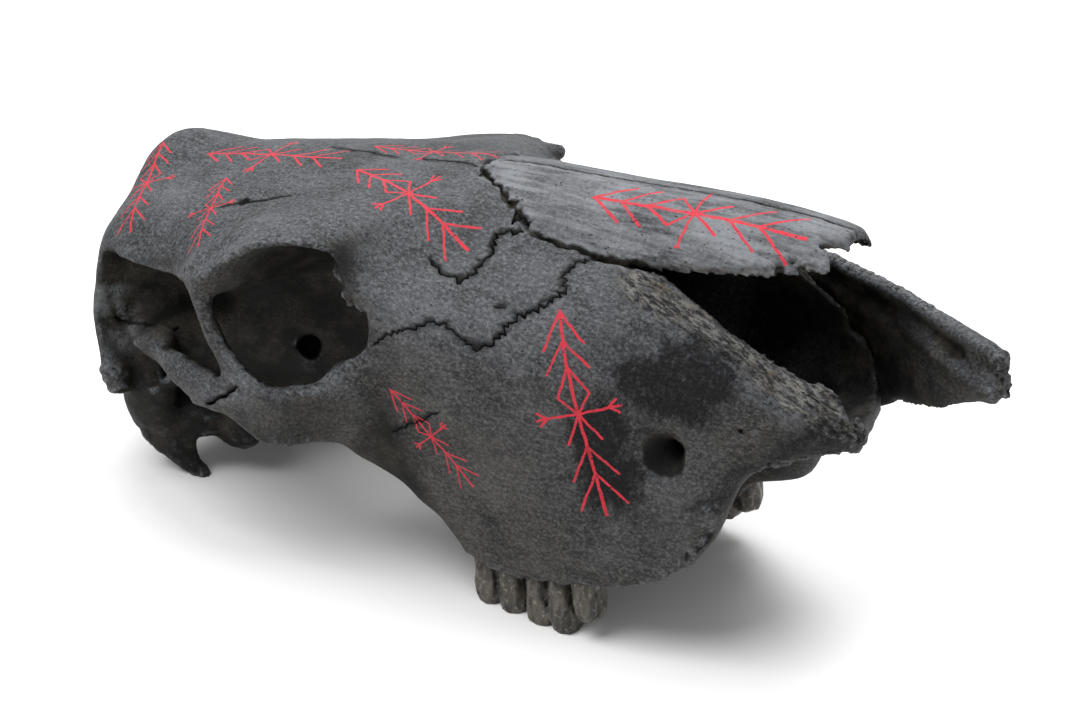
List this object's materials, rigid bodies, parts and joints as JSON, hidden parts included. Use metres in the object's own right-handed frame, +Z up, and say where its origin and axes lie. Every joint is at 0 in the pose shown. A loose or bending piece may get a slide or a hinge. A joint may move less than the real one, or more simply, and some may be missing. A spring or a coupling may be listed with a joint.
{
  "type": "carved cow skull",
  "caption": "Hornless cow skull without its lower jaw, dark dyed bone with red arrow marks, resting on its worn molars and the processes behind",
  "frame": {"origin": "middle of the bounding box on the floor that the molars and the paracondylar processes rest on", "axes": "X points to the nose, Y to the animal's left, Z up"},
  "size_m": [0.4038, 0.1938, 0.1719],
  "materials": {
    "bone": "matt, dark dyed porous bone",
    "nasal_bone": "matt, dark dyed bone, a little smoother",
    "tooth": "satin, brown stained enamel"
  },
  "bodies": {
    "root": {"cranium": "bone", "nasal_bone_right": "nasal_bone", "nasal_bone_left": "nasal_bone", "premaxilla_left": "bone", "upper_right_molar_2": "tooth", "upper_right_molar_1": "tooth", "upper_right_premolar_4": "tooth", "upper_left_molar_2": "tooth", "upper_left_molar_1": "tooth", "upper_left_premolar_4": "tooth"}
  },
  "joints": []
}
